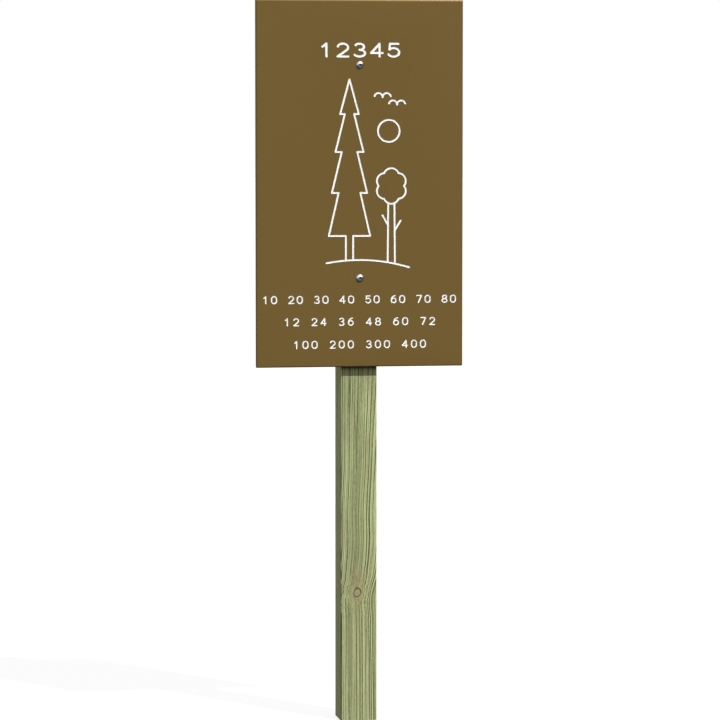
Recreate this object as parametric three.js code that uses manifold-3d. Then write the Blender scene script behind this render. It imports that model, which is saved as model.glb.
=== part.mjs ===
// A trail-side information sign: one flat board, through-bolted to a single square timber post.
// Millimetres. +Z is up, the board faces -Y, and the origin is the centre of the post's foot.
import * as THREE from "three";
import { mergeVertices, toCreasedNormals } from "three/addons/utils/BufferGeometryUtils.js";
import Module from "manifold-3d";

// Board
const boardWidth = 400;
const boardHeight = 700;
const boardThickness = 13;
const boardRise = 685; // from the post's foot up to the board's lower edge
const boardEdgeRound = 2.5; // round-over along every edge of both faces
const boardFaceCornerRadius = 0.8; // what is left of the corner inside the round-over

// Post
const postWidth = 70;
const postDepth = 70;
const postArrisRadius = 3;
const postTopSetback = 20; // the post stops this far below the board's top edge
const postTopChamfer = 5;

// Bolt places, each set out from the nearer end of the board
const upperBoltFromTop = 124;
const lowerBoltFromBottom = 170;

// Button-head bolts
const threadDiameter = 8;
const headDiameter = 14;
const headHeight = 4.4;
const headRimHeight = 0.8;
const socketAcrossFlats = 5;
const socketDepth = 2.6;
const socketPointDepth = 0.9;
const threadStickOut = 7; // bolt left showing past the lock nut
const tipChamfer = 1.1;
const boltHoleClearance = 0.5; // all round the thread, through board and post

// Washers behind the post
const washerDiameter = 24;
const washerThickness = 2;
const washerEdgeBreak = 0.4;

// Lock nuts with a plastic insert
const nutAcrossFlats = 13;
const nutHexHeight = 5.4;
const nutCollarWall = 0.7;
const nutCollarRound = 0.5;
const nutFaceShare = 0.95; // washer face, as a share of the width across flats
const nutChamferDegrees = 30;
const nutBoreLead = 0.4;
const insertWall = 0.7;
const insertThickness = 1.7;
const insertSeatRise = 0.2; // from the end of the hexagon up to the insert's seat
const insertLipReach = 0.45; // how far the rolled collar reaches in over the insert
const insertLipThickness = 0.4;

// Fits and cutting
const fitClearance = 0.3; // between pieces that slide over one another
const cutOverrun = 1; // how far a cutter passes beyond what it cuts
const roundSegments = 40; // sides of a bolt, bore or washer
const cornerSegments = 5; // steps round a rounded edge or corner
const domeSegments = 7;
const leastCornerRadius = 0.2;
const mergeTolerance = 1e-4;
const creaseAngle = Math.PI / 6;

// Sizes that follow from the ones above
const threadRadius = threadDiameter / 2;
const boltHoleRadius = threadRadius + boltHoleClearance;
const headRadius = headDiameter / 2;
const boardTop = boardRise + boardHeight;
const postHeight = boardTop - postTopSetback;
const upperBoltZ = boardTop - upperBoltFromTop;
const lowerBoltZ = boardRise + lowerBoltFromBottom;
const boardFaceY = -postDepth / 2 - boardThickness;
const postBackY = postDepth / 2;
const nutSeatY = postBackY + washerThickness;
const nutBoreRadius = threadRadius + fitClearance;
const insertRadius = nutBoreRadius + insertWall;
const pocketRadius = insertRadius + fitClearance;
const pocketFloor = nutHexHeight + insertSeatRise;
const pocketTop = pocketFloor + insertThickness + fitClearance;
const nutHeight = pocketTop + insertLipThickness;
const boltLength = boardThickness + postDepth + washerThickness + nutHeight + threadStickOut;

const wasm = await Module();
wasm.setup();

// Turns a closed three.js geometry into a solid that can be cut and joined.
function solidFrom(geometry) {
  const bare = geometry.clone();
  bare.deleteAttribute("normal");
  bare.deleteAttribute("uv");
  const merged = mergeVertices(bare, mergeTolerance);
  return new wasm.Manifold(
    new wasm.Mesh({
      numProp: 3,
      vertProperties: merged.attributes.position.array,
      triVerts: new Uint32Array(merged.index.array),
    }),
  );
}

// Turns a solid back into a geometry, smooth over its curves and crisp at its edges.
function geometryFrom(solid) {
  const mesh = solid.getMesh();
  const geometry = new THREE.BufferGeometry();
  geometry.setAttribute("position", new THREE.BufferAttribute(mesh.vertProperties, 3));
  geometry.setIndex(new THREE.BufferAttribute(mesh.triVerts, 1));
  return toCreasedNormals(geometry, creaseAngle);
}

// Revolves a profile of [radius, y] pairs about the Y axis, along which every bolt lies.
function revolved(profile) {
  return new THREE.LatheGeometry(
    profile.map(([radius, y]) => new THREE.Vector2(radius, y)),
    roundSegments,
  );
}

// One ring of a rounded rectangle, drawn in by inset all round, at height z.
function roundedRing(width, depth, cornerRadius, inset, z) {
  const radius = Math.max(cornerRadius - inset, leastCornerRadius);
  const x = width / 2 - inset - radius;
  const y = depth / 2 - inset - radius;
  const corners = [[x, y], [-x, y], [-x, -y], [x, -y]];
  return corners.flatMap(([cornerX, cornerY], quarter) =>
    Array.from({ length: cornerSegments + 1 }, (_, step) => {
      const angle = (quarter + step / cornerSegments) * (Math.PI / 2);
      return [cornerX + radius * Math.cos(angle), cornerY + radius * Math.sin(angle), z];
    }),
  );
}

// Skins rings of equal point count, listed upwards, and closes both ends.
function lofted(rings) {
  const count = rings[0].length;
  const last = (rings.length - 1) * count;
  const indices = [];
  for (let ring = 0; ring < last; ring += count) {
    for (let i = 0; i < count; i += 1) {
      const next = (i + 1) % count;
      indices.push(ring + i, ring + next, ring + count + next);
      indices.push(ring + i, ring + count + next, ring + count + i);
    }
  }
  for (let i = 1; i + 1 < count; i += 1) {
    indices.push(0, i + 1, i);
    indices.push(last, last + i, last + i + 1);
  }
  const geometry = new THREE.BufferGeometry();
  geometry.setAttribute("position", new THREE.Float32BufferAttribute(rings.flat(2), 3));
  geometry.setIndex(indices);
  return geometry;
}

// The cutter for one bolt hole, from y = start to y = end at height z.
function boltHole(start, end, z) {
  const length = end - start + 2 * cutOverrun;
  const cutter = new THREE.CylinderGeometry(boltHoleRadius, boltHoleRadius, length, roundSegments);
  return solidFrom(cutter.translate(0, (start + end) / 2, z));
}

// Post: planed softwood with eased arrises, a chamfered top and a square-sawn foot.
function postGeometry() {
  const shaftTop = postHeight - postTopChamfer;
  const rings = [
    roundedRing(postWidth, postDepth, postArrisRadius, 0, 0),
    roundedRing(postWidth, postDepth, postArrisRadius, 0, shaftTop),
    roundedRing(postWidth, postDepth, postArrisRadius, postTopChamfer, postHeight),
  ];
  const holes = [upperBoltZ, lowerBoltZ].map((z) => boltHole(-postDepth / 2, postDepth / 2, z));
  return geometryFrom(holes.reduce((solid, hole) => solid.subtract(hole), solidFrom(lofted(rings))));
}

// Board: its back lies in the plane y = 0 and its centre on the Y axis, until the mesh is placed.
function boardGeometry() {
  const cornerRadius = boardEdgeRound + boardFaceCornerRadius;
  const steps = Array.from({ length: cornerSegments + 1 }, (_, step) => step / cornerSegments);
  const rounded = steps.map((share) => ({
    inset: boardEdgeRound * (1 - Math.sin((share * Math.PI) / 2)),
    rise: boardEdgeRound * (1 - Math.cos((share * Math.PI) / 2)),
  }));
  const back = rounded.map(({ inset, rise }) =>
    roundedRing(boardWidth, boardHeight, cornerRadius, inset, rise),
  );
  const front = rounded
    .reverse()
    .map(({ inset, rise }) =>
      roundedRing(boardWidth, boardHeight, cornerRadius, inset, boardThickness - rise),
    );
  const slab = lofted([...back, ...front]).rotateX(Math.PI / 2);
  const middle = boardRise + boardHeight / 2;
  const holes = [upperBoltZ, lowerBoltZ].map((z) => boltHole(-boardThickness, 0, z - middle));
  return geometryFrom(holes.reduce((solid, hole) => solid.subtract(hole), solidFrom(slab)));
}

// Bolt: the head's underside lies in the plane y = 0, and the shank runs along +Y.
function boltGeometry() {
  const domeHeight = headHeight - headRimHeight;
  const domeRadius = (headRadius ** 2 + domeHeight ** 2) / (2 * domeHeight);
  const domeAngle = Math.asin(headRadius / domeRadius);
  const dome = Array.from({ length: domeSegments + 1 }, (_, step) => {
    const angle = (step / domeSegments) * domeAngle;
    return [domeRadius * Math.sin(angle), domeRadius * (1 - Math.cos(angle)) - headHeight];
  });
  const blank = revolved([
    ...dome,
    [headRadius, 0],
    [threadRadius, 0],
    [threadRadius, boltLength - tipChamfer],
    [threadRadius - tipChamfer, boltLength],
    [0, boltLength],
  ]);
  const socketRadius = socketAcrossFlats / Math.sqrt(3);
  const socketLength = socketDepth + cutOverrun;
  const socket = new THREE.CylinderGeometry(socketRadius, socketRadius, socketLength, 6);
  socket.translate(0, socketLength / 2 - headHeight - cutOverrun, 0);
  const pointRadius = socketAcrossFlats / 2;
  const pointStart = socketDepth - headHeight;
  const point = revolved([
    [0, pointStart - cutOverrun],
    [pointRadius, pointStart - cutOverrun],
    [pointRadius, pointStart],
    [0, pointStart + socketPointDepth],
  ]);
  return geometryFrom(solidFrom(blank).subtract(solidFrom(socket)).subtract(solidFrom(point)));
}

// Washer: its timber side lies in the plane y = 0, and the punched edge is broken on the nut side.
function washerGeometry() {
  const hole = threadRadius + fitClearance;
  const rim = washerDiameter / 2;
  const profile = [
    [hole, 0],
    [rim, 0],
    [rim, washerThickness - washerEdgeBreak],
    [rim - washerEdgeBreak, washerThickness],
    [hole, washerThickness],
    [hole, 0],
  ];
  return geometryFrom(solidFrom(revolved(profile)));
}

// Insert: the plastic ring that grips the thread, held in a pocket under the nut's rolled collar.
function insertGeometry() {
  const top = pocketFloor + insertThickness;
  const profile = [
    [nutBoreRadius, pocketFloor],
    [insertRadius, pocketFloor],
    [insertRadius, top],
    [nutBoreRadius, top],
    [nutBoreRadius, pocketFloor],
  ];
  return geometryFrom(solidFrom(revolved(profile)));
}

// Nut: its bearing face lies in the plane y = 0, and the collar with the insert is at the far end.
function nutGeometry() {
  const flatRadius = nutAcrossFlats / 2;
  const cornerRadius = nutAcrossFlats / Math.sqrt(3);
  const faceRadius = flatRadius * nutFaceShare;
  const chamferReach = cornerRadius + cutOverrun;
  const chamferRise = (chamferReach - faceRadius) * Math.tan(THREE.MathUtils.degToRad(nutChamferDegrees));
  const hexagon = new THREE.CylinderGeometry(cornerRadius, cornerRadius, nutHexHeight, 6);
  hexagon.translate(0, nutHexHeight / 2, 0);
  const turned = revolved([
    [0, 0],
    [faceRadius, 0],
    [chamferReach, chamferRise],
    [chamferReach, nutHexHeight - chamferRise],
    [faceRadius, nutHexHeight],
    [0, nutHexHeight],
  ]);
  const collarRadius = pocketRadius + nutCollarWall;
  const collar = revolved([
    [0, nutHexHeight / 2],
    [collarRadius, nutHexHeight / 2],
    [collarRadius, nutHeight - nutCollarRound],
    [collarRadius - nutCollarRound, nutHeight],
    [0, nutHeight],
  ]);
  const lipRadius = pocketRadius - insertLipReach;
  const bore = revolved([
    [0, -cutOverrun],
    [nutBoreRadius + nutBoreLead + cutOverrun, -cutOverrun],
    [nutBoreRadius, nutBoreLead],
    [nutBoreRadius, pocketFloor],
    [pocketRadius, pocketFloor],
    [pocketRadius, pocketTop],
    [lipRadius, pocketTop],
    [lipRadius, nutHeight + cutOverrun],
    [0, nutHeight + cutOverrun],
  ]);
  const body = solidFrom(hexagon).intersect(solidFrom(turned)).add(solidFrom(collar));
  return geometryFrom(body.subtract(solidFrom(bore)));
}

// Finishes
const treatedTimber = new THREE.MeshStandardMaterial({ color: 0x989d72, roughness: 0.85, metalness: 0 });
const brownPanel = new THREE.MeshStandardMaterial({ color: 0x705a34, roughness: 0.6, metalness: 0 });
const stainlessSteel = new THREE.MeshStandardMaterial({ color: 0xc9cacb, roughness: 0.25, metalness: 1 });
const insertPlastic = new THREE.MeshStandardMaterial({ color: 0xd9d7cc, roughness: 0.5, metalness: 0 });

const sign = new THREE.Group();

function place(name, geometry, material, y, z) {
  const mesh = new THREE.Mesh(geometry, material);
  mesh.name = name;
  mesh.position.set(0, y, z);
  sign.add(mesh);
}

place("timber_post", postGeometry(), treatedTimber, 0, 0);
place("sign_board", boardGeometry(), brownPanel, -postDepth / 2, boardRise + boardHeight / 2);

// Two alike sets of fasteners, each on its own axis through board and post
const fastenerRows = { upper: upperBoltZ, lower: lowerBoltZ };
for (const [row, z] of Object.entries(fastenerRows)) {
  place(`${row}_bolt`, boltGeometry(), stainlessSteel, boardFaceY, z);
  place(`${row}_washer`, washerGeometry(), stainlessSteel, postBackY, z);
  place(`${row}_lock_nut`, nutGeometry(), stainlessSteel, nutSeatY, z);
  place(`${row}_nut_insert`, insertGeometry(), insertPlastic, nutSeatY, z);
}

export default sign;
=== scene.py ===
"""A trail-side sign: one flat board with routed white markings, through-bolted to a square softwood post.

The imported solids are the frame. Every piece here is built over the solid that it stands for, in metres:
+Z is up, the board faces -Y, and the origin is the centre of the post's foot.
"""

import math
import random
from functools import partialmethod

import bpy
from bpy.props import FloatProperty, FloatVectorProperty, IntProperty, PointerProperty
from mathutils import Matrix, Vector


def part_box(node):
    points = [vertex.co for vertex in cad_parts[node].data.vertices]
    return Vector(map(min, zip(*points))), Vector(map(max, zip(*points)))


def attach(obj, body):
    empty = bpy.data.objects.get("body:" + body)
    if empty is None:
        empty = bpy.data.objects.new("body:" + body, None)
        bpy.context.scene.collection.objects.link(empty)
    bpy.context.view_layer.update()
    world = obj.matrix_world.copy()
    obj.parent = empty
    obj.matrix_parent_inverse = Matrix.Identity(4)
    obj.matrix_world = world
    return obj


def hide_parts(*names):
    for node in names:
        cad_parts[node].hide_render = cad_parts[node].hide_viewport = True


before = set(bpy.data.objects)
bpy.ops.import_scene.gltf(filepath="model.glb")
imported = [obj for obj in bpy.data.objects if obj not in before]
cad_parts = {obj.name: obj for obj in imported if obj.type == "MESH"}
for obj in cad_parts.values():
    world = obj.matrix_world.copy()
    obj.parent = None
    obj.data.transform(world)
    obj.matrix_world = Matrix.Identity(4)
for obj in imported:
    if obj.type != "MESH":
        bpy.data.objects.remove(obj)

bl_info = {
    "name": "Trail sign",
    "version": (1, 0, 0),
    "blender": (4, 5, 0),
    "location": "View3D > Sidebar > Trail sign",
    "description": "Builds a routed board, bolted to a treated softwood post, over its packed solids",
    "category": "Object",
}

MM = 0.001
BODY = "root"
SENSOR_WIDTH = 36

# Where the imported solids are
POST_LOW, POST_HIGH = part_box("timber_post")
BOARD_LOW, BOARD_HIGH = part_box("sign_board")
BOLT_HEIGHTS = [sum(corner.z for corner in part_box(node)) / 2 for node in ("lower_bolt", "upper_bolt")]
BOLT_SPACING = BOLT_HEIGHTS[1] - BOLT_HEIGHTS[0]
BOLT_LOW, BOLT_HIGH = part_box("upper_bolt")
WASHER_LOW, WASHER_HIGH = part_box("upper_washer")
NUT_LOW, NUT_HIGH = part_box("upper_lock_nut")
INSERT_LOW, INSERT_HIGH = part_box("upper_nut_insert")


def tint(code):
    """The linear colour of a six-digit screen colour."""
    shares = [(code >> shift & 255) / 255 for shift in (16, 8, 0)]
    return tuple(s / 12.92 if s <= 0.04045 else ((s + 0.055) / 1.055) ** 2.4 for s in shares)


def length(name, description, millimetres):
    """A size that the user can change."""
    return FloatProperty(
        name=name, description=description, default=millimetres * MM, min=0, precision=4,
        subtype="DISTANCE", unit="LENGTH",
    )


def colour(name, description, code):
    """A colour that the user can change."""
    return FloatVectorProperty(
        name=name, description=description, default=tint(code), min=0, max=1, size=3, subtype="COLOR",
    )


# Sizes and colours that a user would change


class PostSettings(bpy.types.PropertyGroup):
    arris: length("Arris", "Radius of the four eased long edges", 3)
    top_chamfer: length("Top chamfer", "Bevel round the top end, against the rain", 5)
    hole_radius: length("Bolt hole", "Radius of the two bolt holes", 4.5)
    check_width: length("Check width", "Widest opening of a drying check", 1.3)
    check_depth: length("Check depth", "How far a drying check runs in", 11)
    trunk: length("Trunk", "How far out from the middle of the tree the table of rings runs", 68)
    pith_depth: length("Pith depth", "How far behind the front face the middle of the tree lies", 22)
    pale: colour("Pale wood", "The palest lines of the grain", 0xBDC58F)
    dark: colour("Dark wood", "The darkest lines of the grain", 0x51573A)
    blush: colour("Blush", "Brownish patches in the treated wood", 0x8F7F5E)
    resin: colour("Resin", "Tan stain beside a knot", 0xB9AB6C)
    bark: colour("Bark ring", "Thin dark ring round a knot", 0x453C22)
    knot: colour("Knot", "Wood inside a knot", 0x999B79)
    # Colour of the painted shade just under the board's lower edge
    painted_contact_shade: colour("Drip stain", "Stain that water leaves under the board's lower edge", 0x1A1B12)


class BoardSettings(bpy.types.PropertyGroup):
    edge_round: length("Edge round", "Round-over along every edge of both faces", 2.5)
    corner: length("Corner", "Radius of the four corners, seen from the front", 1.4)
    groove_depth: length("Groove depth", "How deep the markings are routed", 0.7)
    title_stroke: length("Title stroke", "Width of the cutter for the top line", 4.4)
    picture_stroke: length("Picture stroke", "Width of the cutter for the picture", 3.6)
    row_stroke: length("Row stroke", "Width of the cutter for the small rows", 2.5)
    hole_radius: length("Bolt hole", "Radius of the two bolt holes", 4.5)
    face: colour("Board", "Colour of the board", 0x6C562A)
    mottle: colour("Mottle", "Broad faint patches on the board", 0x5F4C2A)
    # Painted highlight on the board's upper edge, and painted shade on its lower edge
    painted_highlight: colour("Painted highlight edge", "Upper edge of the board", 0x987C4D)
    painted_shade: colour("Painted shade", "Dirt along the board's lower edge", 0x2A2214)
    paint: colour("Paint", "Paint in the routed markings", 0xF6F7F4)


class FastenerSettings(bpy.types.PropertyGroup):
    thread: length("Thread", "Outer diameter of the thread", 8)
    pitch: length("Pitch", "Rise of the thread in one turn", 1.25)
    threaded: length("Threaded length", "Length of the thread, from the tip", 22)
    rim: length("Head rim", "Height of the upright rim under the dome", 0.8)
    socket: length("Socket", "Width across the flats of the socket", 5)
    socket_depth: length("Socket depth", "Depth of the socket", 2.6)
    nut: length("Nut", "Width across the flats of the nut", 13)
    hexagon: length("Hexagon height", "Height of the nut without its collar", 5.4)
    steel: colour("Steel", "Stainless steel of the bolts, washers and nuts", 0x808285)
    # Painted reflection on the bolts' heads: the pale colour above, the dark one below
    painted_sky_reflection: colour("Washed steel", "Upper half of the bolts' heads, which the rain keeps clean", 0xD9DBDD)
    painted_ground_reflection: colour("Grimy steel", "Lower half of the bolts' heads", 0x575C62)
    # Painted shade inside the bolts' sockets
    painted_shade: colour("Painted shade", "Dirt in the bolts' sockets", 0x4A453B)
    insert: colour("Insert", "Plastic ring in the nut", 0xD9D7CC)
    seed: IntProperty(name="Seed", description="How far each bolt and nut happens to be turned", default=4)


class StageSettings(bpy.types.PropertyGroup):
    aim: FloatVectorProperty(
        name="Aim", description="Point that the camera looks at", default=(0.00818, 0, 0.6948),
        size=3, subtype="XYZ", unit="LENGTH",
    )
    distance: length("Camera distance", "From the camera to the aim", 7000)
    azimuth: FloatProperty(
        name="Azimuth", description="Camera's turn to the left of the board's front",
        default=math.radians(9.6), subtype="ANGLE", unit="ROTATION",
    )
    elevation: FloatProperty(
        name="Elevation", description="Camera's height above level", default=math.radians(3.86),
        subtype="ANGLE", unit="ROTATION",
    )
    lens: FloatProperty(
        name="Lens", description="Focal length", default=181.65, subtype="DISTANCE_CAMERA", unit="CAMERA",
    )
    sun: FloatProperty(name="Sun", description="Strength of the sun lamp", default=3.95)
    fill: FloatProperty(name="Fill", description="Strength of the soft lamp behind the sign", default=1.2)
    sky: FloatProperty(name="Sky", description="Strength of the even light from the sky", default=0.66)
    ground: colour("Ground", "Colour of the floor, as it lights the sign", 0x333333)


# Building node trees


class Graph:
    """Adds nodes to one tree and joins them. Inputs are given as values or as the outputs of other nodes."""

    def __init__(self, tree):
        self.tree = tree

    def feed(self, socket, value):
        for one in value if isinstance(value, list) else [value]:
            if isinstance(one, bpy.types.NodeSocket):
                self.tree.links.new(one, socket)
            else:
                socket.default_value = one

    def add(self, kind, inputs=None, **settings):
        node = self.tree.nodes.new(kind)
        for name, value in settings.items():
            setattr(node, name, value)
        for key, value in (inputs or {}).items():
            self.feed(node.inputs[key], value)
        return node

    def first(self, kind, inputs=None, **settings):
        """Adds a node and gives its first output."""
        return self.add(kind, inputs, **settings).outputs[0]

    def group(self, tree, inputs, kind="ShaderNodeGroup"):
        return self.add(kind, inputs, node_tree=tree).outputs

    def math(self, operation, *values):
        return self.first("ShaderNodeMath", dict(enumerate(values)), operation=operation)

    def in_turn(self, operation, first, *others):
        for other in others:
            first = self.math(operation, first, other)
        return first

    plus = partialmethod(in_turn, "ADD")
    minus = partialmethod(in_turn, "SUBTRACT")
    times = partialmethod(in_turn, "MULTIPLY")
    over = partialmethod(in_turn, "DIVIDE")
    most = partialmethod(in_turn, "MAXIMUM")
    least = partialmethod(in_turn, "MINIMUM")

    def vector(self, operation, *values):
        node = self.add("ShaderNodeVectorMath", dict(enumerate(values)), operation=operation)
        return node.outputs["Value" if operation in ("DOT_PRODUCT", "LENGTH") else "Vector"]

    def scaled(self, vector, factor):
        return self.first("ShaderNodeVectorMath", {0: vector, "Scale": factor}, operation="SCALE")

    def combine(self, x, y, z):
        return self.first("ShaderNodeCombineXYZ", {0: x, 1: y, 2: z})

    def separate(self, vector):
        return self.add("ShaderNodeSeparateXYZ", {0: vector}).outputs

    def ease(self, value, start, end, low=0.0, high=1.0):
        """Runs smoothly from low to high while value goes from start to end."""
        inputs = {"Value": value, "From Min": start, "From Max": end, "To Min": low, "To Max": high}
        return self.first("ShaderNodeMapRange", inputs, interpolation_type="SMOOTHSTEP")

    def bell(self, value, width):
        """One where value is nought, falling away to either side."""
        share = self.over(value, width)
        return self.math("EXPONENT", self.times(share, share, -1.0))

    def decay(self, distance, reach, share=1.0):
        """One at no distance, falling away over a share of the reach."""
        return self.math("EXPONENT", self.over(distance, self.times(reach, -share)))

    def noise(self, position, scale=1.0, detail=2.0, roughness=0.5, output="Fac"):
        """Noise over a position, which three numbers as the scale stretch."""
        if isinstance(scale, tuple):
            position, scale = self.vector("MULTIPLY", position, scale), 1.0
        inputs = {"Vector": position, "Scale": scale, "Detail": detail, "Roughness": roughness}
        return self.add("ShaderNodeTexNoise", inputs).outputs[output]

    def noise_along(self, value, scale, detail):
        inputs = {"W": value, "Scale": scale, "Detail": detail}
        return self.first("ShaderNodeTexNoise", inputs, noise_dimensions="1D")

    def drift(self, position, scale, reach):
        """A vector that wanders with the position, along each axis by up to half the reach."""
        wander = self.noise(position, scale, output="Color")
        return self.scaled(self.vector("SUBTRACT", wander, (0.5, 0.5, 0.5)), reach)

    def stir(self, level, source, share):
        """Adds a share of how far a noise lies from its middle."""
        return self.math("MULTIPLY_ADD", self.minus(source, 0.5), share, level)

    def curve(self, value, pairs, interpolation="CARDINAL"):
        """A line through (value, level) pairs, which lie in order. There can be 32 of them at most."""
        start, end = pairs[0][0], pairs[-1][0]
        low = min(level for _, level in pairs)
        high = max(level for _, level in pairs)
        share = self.over(self.minus(value, start), end - start)
        node = self.add("ShaderNodeValToRGB", {"Fac": share})
        node.color_ramp.interpolation = interpolation
        elements = node.color_ramp.elements
        while len(elements) < len(pairs):
            elements.new(1.0)
        for element, (place, level) in zip(elements, pairs):
            grey = (level - low) / (high - low)
            element.position = (place - start) / (end - start)
            element.color = (grey, grey, grey, 1)
        return self.math("MULTIPLY_ADD", node.outputs["Color"], high - low, low)

    def blend(self, factor, first, second, mode="MIX"):
        """Mixes two colours, each given as three numbers or as another node's output."""
        colours = [c if isinstance(c, bpy.types.NodeSocket) else (*c, 1) for c in (first, second)]
        inputs = {0: factor, 6: colours[0], 7: colours[1]}
        return self.add("ShaderNodeMix", inputs, data_type="RGBA", blend_type=mode).outputs[2]


GEOMETRY = "NodeSocketGeometry"
OBJECT = "NodeSocketObject"
MATERIAL = "NodeSocketMaterial"
SOCKET_KINDS = {float: "NodeSocketFloat", int: "NodeSocketInt", tuple: "NodeSocketVector"}
UP = (0, 0, 1)


def new_group(name, kind, inputs, outputs):
    """A node group with named sockets, each given as its default or as the name of its kind."""
    tree = bpy.data.node_groups.new(name, kind)
    for direction, sockets in (("INPUT", inputs), ("OUTPUT", outputs)):
        for socket_name, default in sockets.items():
            socket_kind = SOCKET_KINDS.get(type(default), default)
            socket = tree.interface.new_socket(socket_name, in_out=direction, socket_type=socket_kind)
            if socket_kind is not default:
                socket.default_value = default
    graph = Graph(tree)
    return graph, graph.add("NodeGroupInput").outputs, graph.add("NodeGroupOutput").inputs


def shared_group(name, build):
    """A node group that has several users, built the first time that it is asked for."""
    return bpy.data.node_groups.get(name) or build()


def empty_nodes(data):
    """A material or a world ready for new nodes."""
    data.use_nodes = True
    data.node_tree.nodes.clear()
    return Graph(data.node_tree)


def new_material(name):
    """A material, its graph, its shader's inputs, and where a point lies on the sign, in millimetres."""
    material = bpy.data.materials.new(name)
    graph = empty_nodes(material)
    shader = graph.add("ShaderNodeBsdfPrincipled")
    graph.add("ShaderNodeOutputMaterial", {"Surface": shader.outputs["BSDF"]})
    place = graph.scaled(graph.add("ShaderNodeTexCoord").outputs["Object"], 1 / MM)
    return material, graph, shader.inputs, place


# Effects that several materials use


def edge_rub_group():
    """How much a point near the outline of a box is rubbed, by handling and weather."""
    graph, given, made = new_group(
        "Edge rub", "ShaderNodeTree",
        {
            "Position": (0, 0, 0), "Centre": (0, 0, 0), "Half Size": (0, 0, 0),
            "Reach": 3.0, "Unevenness": 2.0,
        },
        {"Rub": 0.0},
    )
    offset = graph.vector("ABSOLUTE", graph.vector("SUBTRACT", given["Position"], given["Centre"]))
    x, y, z = graph.separate(graph.vector("SUBTRACT", given["Half Size"], offset))
    # An edge is where two of the three distances to the sides are small, so the middle one counts
    middle = graph.most(graph.least(x, y), graph.least(graph.most(x, y), z))
    patch = graph.times(graph.noise(given["Position"], 0.09, 4), given["Unevenness"])
    graph.feed(made["Rub"], graph.ease(graph.plus(middle, patch), given["Reach"], 0.0))
    return graph.tree


def rub_of(graph, place, low, high, reach, unevenness):
    """How much a piece is rubbed that fills the box from low to high."""
    return graph.group(shared_group("Edge rub", edge_rub_group), {
        "Position": place, "Centre": (low + high) / 2 / MM, "Half Size": (high - low) / 2 / MM,
        "Reach": reach, "Unevenness": unevenness,
    })["Rub"]


def speckle_group():
    """Fine, even mottling, as a level about a half."""
    graph, given, made = new_group(
        "Fine speckle", "ShaderNodeTree",
        {"Position": (0, 0, 0), "Size": 1.0, "Stretch": (1, 1, 1)}, {"Level": 0.0, "Broad": 0.0},
    )
    place = graph.vector("MULTIPLY", given["Position"], given["Stretch"])
    scale = graph.over(1.0, given["Size"])
    graph.feed(made["Level"], graph.noise(place, scale, 3, 0.6))
    graph.feed(made["Broad"], graph.noise(place, graph.times(scale, 0.04), 3))
    return graph.tree


def speckle_of(graph, place, size, stretch=(1, 1, 1)):
    """Mottling of one size in millimetres, as the outputs Level and Broad."""
    return graph.group(
        shared_group("Fine speckle", speckle_group), {"Position": place, "Size": size, "Stretch": stretch},
    )


def feed_shader(graph, shader, surface, rough, height, strength, depth):
    """Gives a shader its colour and roughness, and a bump as deep as depth, in millimetres."""
    bump = graph.first("ShaderNodeBump", {"Strength": strength, "Distance": depth * MM, "Height": height})
    for name, value in (("Base Color", surface), ("Roughness", rough), ("Normal", bump)):
        graph.feed(shader[name], value)


# Materials


# How uneven a knot's outline is and how far its stain reaches up and down, in mm, how much the swerve of the
# grain round it is drawn out, and how much nearer to its middle the wood beside it comes from
KNOT_UNEVENNESS = 2.4
STAIN_REACH = 50.0
SWERVE_SQUEEZE = 0.62
SWERVE_SHARE = 0.7


def knot_group():
    """A branch that grew out of the pith: its own wood, its bark ring, and how it turns the grain aside."""
    graph, given, made = new_group(
        "Knot", "ShaderNodeTree",
        {
            "Position": (0, 0, 0), "Root": (0, 0, 0), "Heading": (0, -1, 0),
            "Radius": 5.0, "Taper": 0.05, "Reach": 9.0,
        },
        {"Inside": 0.0, "Bark": 0.0, "Near": 0.0, "Tail": 0.0, "Out": 0.0, "Push": (0, 0, 0)},
    )
    arm = graph.vector("SUBTRACT", given["Position"], given["Root"])
    along = graph.vector("DOT_PRODUCT", arm, given["Heading"])
    across = graph.vector("SUBTRACT", arm, graph.scaled(given["Heading"], along))
    out = graph.vector("LENGTH", across)
    uneven = graph.times(graph.minus(graph.noise(arm, 0.2), 0.5), KNOT_UNEVENNESS)
    radius = graph.plus(given["Radius"], graph.times(given["Taper"], along))
    sideways = graph.vector("NORMALIZE", graph.vector("CROSS_PRODUCT", given["Heading"], UP))
    forward = graph.vector("CROSS_PRODUCT", UP, sideways)
    # The branch starts at the pith, so it changes nothing behind it
    outward = graph.ease(graph.vector("DOT_PRODUCT", arm, forward), 1.0, 8.0)
    gap = graph.minus(graph.plus(out, uneven), radius)
    # The grain parts above the branch and swerves round it, so that a point beside it shows wood from
    # nearer its middle
    x, y, z = graph.separate(across)
    aside = graph.vector("DOT_PRODUCT", arm, sideways)
    long_out = graph.vector("LENGTH", graph.combine(x, y, graph.times(z, SWERVE_SQUEEZE)))
    beyond = graph.most(graph.minus(long_out, radius), 0.0)
    nearness = graph.least(graph.over(radius, long_out), 1.0)
    swerve = graph.times(graph.decay(beyond, given["Reach"], 0.75), nearness, outward, -SWERVE_SHARE)
    # The stain above and below it is long and narrow
    width = graph.times(given["Radius"], graph.ease(z, -20.0, 20.0, 1.0, 2.2))
    levels = {
        "Inside": graph.ease(gap, 0.4, -0.4),
        "Bark": graph.bell(gap, 1.0),
        "Near": graph.decay(graph.most(gap, 0.0), given["Reach"]),
        "Tail": graph.times(graph.bell(aside, width), graph.bell(z, STAIN_REACH)),
    }
    for name, level in levels.items():
        graph.feed(made[name], graph.times(level, outward))
    graph.feed(made["Out"], out)
    graph.feed(made["Push"], graph.scaled(sideways, graph.times(aside, swerve)))
    return graph.tree


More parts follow.
